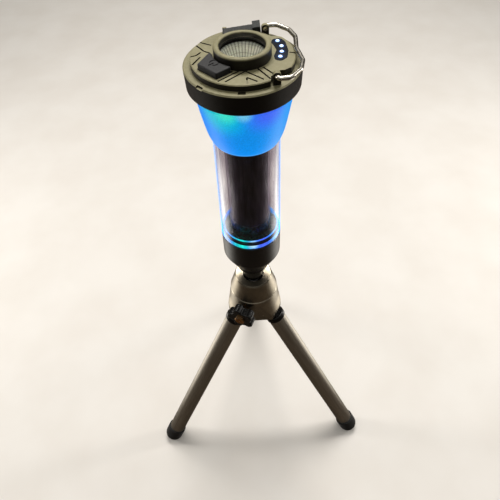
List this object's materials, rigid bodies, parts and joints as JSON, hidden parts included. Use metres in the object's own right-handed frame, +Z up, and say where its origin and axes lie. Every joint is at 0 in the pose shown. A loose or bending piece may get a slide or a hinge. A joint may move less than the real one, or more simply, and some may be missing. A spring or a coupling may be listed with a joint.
{
  "type": "camping lantern on tabletop tripod",
  "caption": "Cylindrical rechargeable camping lantern with a torch in its head, folding wire hook and screw base, on a mini ball-head tripod.",
  "frame": {"origin": "centre of the footprint of the three feet, on the table", "axes": "+Z up, along the lantern; -Y towards the side with the power button; +X to the charge window"},
  "size_m": [0.1512, 0.1328, 0.3039],
  "materials": {
    "champagne_metal": "satin champagne anodised",
    "nylon": "moulded",
    "black_plastic": "moulded",
    "black_rubber": "moulded matt",
    "steel": "zinc plated",
    "brass": "turned",
    "circuit_board": "solder mask",
    "cell_wrap": "heat-shrink wrap",
    "clear_acrylic": "polished",
    "frosted_light": "frosted, lit blue",
    "led": "clear dome",
    "olive_plastic": "fine moulded texture",
    "mirror_metal": "vacuum metallised",
    "window_plastic": "smoked",
    "hook_wire": "polished wire"
  },
  "bodies": {
    "hub": {"hub_body": "champagne_metal", "clamp_collar": "champagne_metal", "leg_pin_left": "steel", "leg_pin_right": "steel", "leg_pin_rear": "steel"},
    "ball_swivel": {"ball_seat": "nylon"},
    "lantern": {"ball_stud": "black_plastic", "base_cup": "black_plastic", "base_magnet": "steel", "base_seal": "black_rubber", "battery_cell": "cell_wrap", "battery_window": "window_plastic", "bezel_ring": "olive_plastic", "board_screws": "steel", "button_switch": "black_plastic", "cell_sleeve": "clear_acrylic", "charge_leds": "led", "clear_tube": "clear_acrylic", "control_board": "circuit_board", "floor_disc": "circuit_board", "frosted_cone": "frosted_light", "grip_washer": "black_rubber", "head_collar": "olive_plastic", "head_deck": "olive_plastic", "lantern_leds": "led", "lantern_ring_board": "circuit_board", "lens_seal": "black_rubber", "mounting_pad": "black_plastic", "mounting_screw": "steel", "negative_spring": "steel", "positive_contact": "brass", "thread_insert": "brass", "torch_led": "led", "torch_lens": "clear_acrylic", "torch_reflector": "mirror_metal", "usb_port": "steel"},
    "knob": {"clamp_knob": "black_plastic", "knob_screw": "brass"},
    "button": {"power_button": "black_rubber"},
    "hook": {"hanging_hook": "hook_wire"},
    "usb_flap": {"usb_cover": "black_rubber"},
    "leg_left": {"leg_sleeve_left": "black_plastic", "leg_tube_left": "champagne_metal", "leg_foot_left": "black_rubber"},
    "leg_right": {"leg_sleeve_right": "black_plastic", "leg_tube_right": "champagne_metal", "leg_foot_right": "black_rubber"},
    "leg_rear": {"leg_sleeve_rear": "black_plastic", "leg_tube_rear": "champagne_metal", "leg_foot_rear": "black_rubber"}
  },
  "joints": [
    {"name": "leg_left_fold", "type": "hinge", "parent": "hub", "child": "leg_left", "pos_m": [-0.00823, -0.02468, 0.1338], "axis": [-0.5, 0.866, 0], "range_deg": [-28, 0]},
    {"name": "leg_right_fold", "type": "hinge", "parent": "hub", "child": "leg_right", "pos_m": [0.00823, -0.02468, 0.1338], "axis": [-0.5, -0.866, 0], "range_deg": [-28, 0]},
    {"name": "leg_rear_fold", "type": "hinge", "parent": "hub", "child": "leg_rear", "pos_m": [0, -0.01043, 0.1338], "axis": [1, 0, 0], "range_deg": [-28, 0]},
    {"name": "ball_pan", "type": "hinge", "parent": "hub", "child": "ball_swivel", "pos_m": [0, -0.01993, 0.152], "axis": [0, 0, 1], "continuous": true},
    {"name": "ball_tilt", "type": "hinge", "parent": "ball_swivel", "child": "lantern", "pos_m": [0, -0.01993, 0.152], "axis": [1, 0, 0], "range_deg": [-8, 8]},
    {"name": "knob_turn", "type": "hinge", "parent": "hub", "child": "knob", "pos_m": [-0.00719, -0.03534, 0.1423], "axis": [-0.4226, -0.9063, 0], "range_deg": [0, 360]},
    {"name": "button_press", "type": "slide", "parent": "lantern", "child": "button", "axis": [0, 0, -1], "range_m": [0, 0.0006], "stiffness_N_per_m": 900, "springref_m": -0.0006},
    {"name": "hook_flip", "type": "hinge", "parent": "lantern", "child": "hook", "pos_m": [0.01038, -0.0193, 0.3004], "axis": [0.061, -0.9981, 0], "range_deg": [0, 100]},
    {"name": "usb_cover_lift", "type": "hinge", "parent": "lantern", "child": "usb_flap", "pos_m": [-0.0064, -0.00533, 0.3004], "axis": [0, -1, 0], "range_deg": [-6, 70]}
  ]
}
